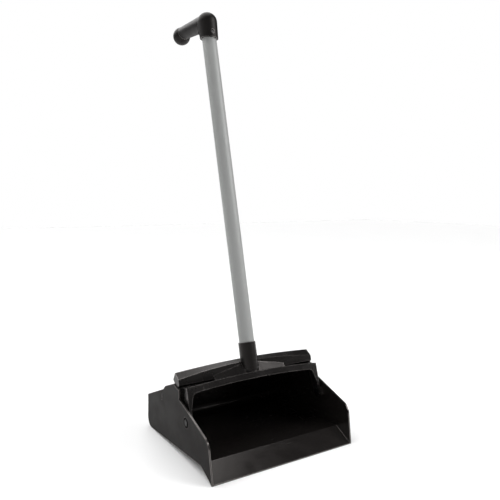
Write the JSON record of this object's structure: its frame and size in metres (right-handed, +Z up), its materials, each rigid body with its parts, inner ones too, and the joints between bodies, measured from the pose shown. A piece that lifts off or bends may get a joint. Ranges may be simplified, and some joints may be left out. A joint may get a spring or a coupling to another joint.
{
  "type": "upright lobby dust pan",
  "caption": "Self-standing upright dust pan: a wide covered pan with a ramped lip, hinged under a hooded yoke with a long leaning tube handle and a hooked hand grip.",
  "frame": {"origin": "centre of the overall bounding box's bottom face, on the floor", "axes": "+X to the right across the lip, -Y towards the lip (front), +Z up"},
  "size_m": [0.3244, 0.4752, 0.912],
  "materials": {
    "pan_plastic": "moulded black plastic, satin to gloss",
    "yoke_plastic": "moulded black plastic, satin to gloss",
    "grip_plastic": "moulded black plastic, satin",
    "tube_paint": "grey powder coat on steel tube",
    "pin_steel": "blackened steel",
    "screw_steel": "blackened steel"
  },
  "bodies": {
    "pan": {"pan_body": "pan_plastic"},
    "handle": {"yoke": "yoke_plastic", "handle_tube": "tube_paint", "hand_grip": "grip_plastic", "socket_screw": "screw_steel", "grip_screw": "screw_steel", "hinge_pin_left": "pin_steel", "hinge_pin_right": "pin_steel", "push_nut_left": "pin_steel", "push_nut_right": "pin_steel"}
  },
  "joints": [
    {"name": "yoke_hinge", "type": "hinge", "parent": "pan", "child": "handle", "pos_m": [0, -0.13663, 0.078], "axis": [1, 0, 0], "range_deg": [0, 95]}
  ]
}
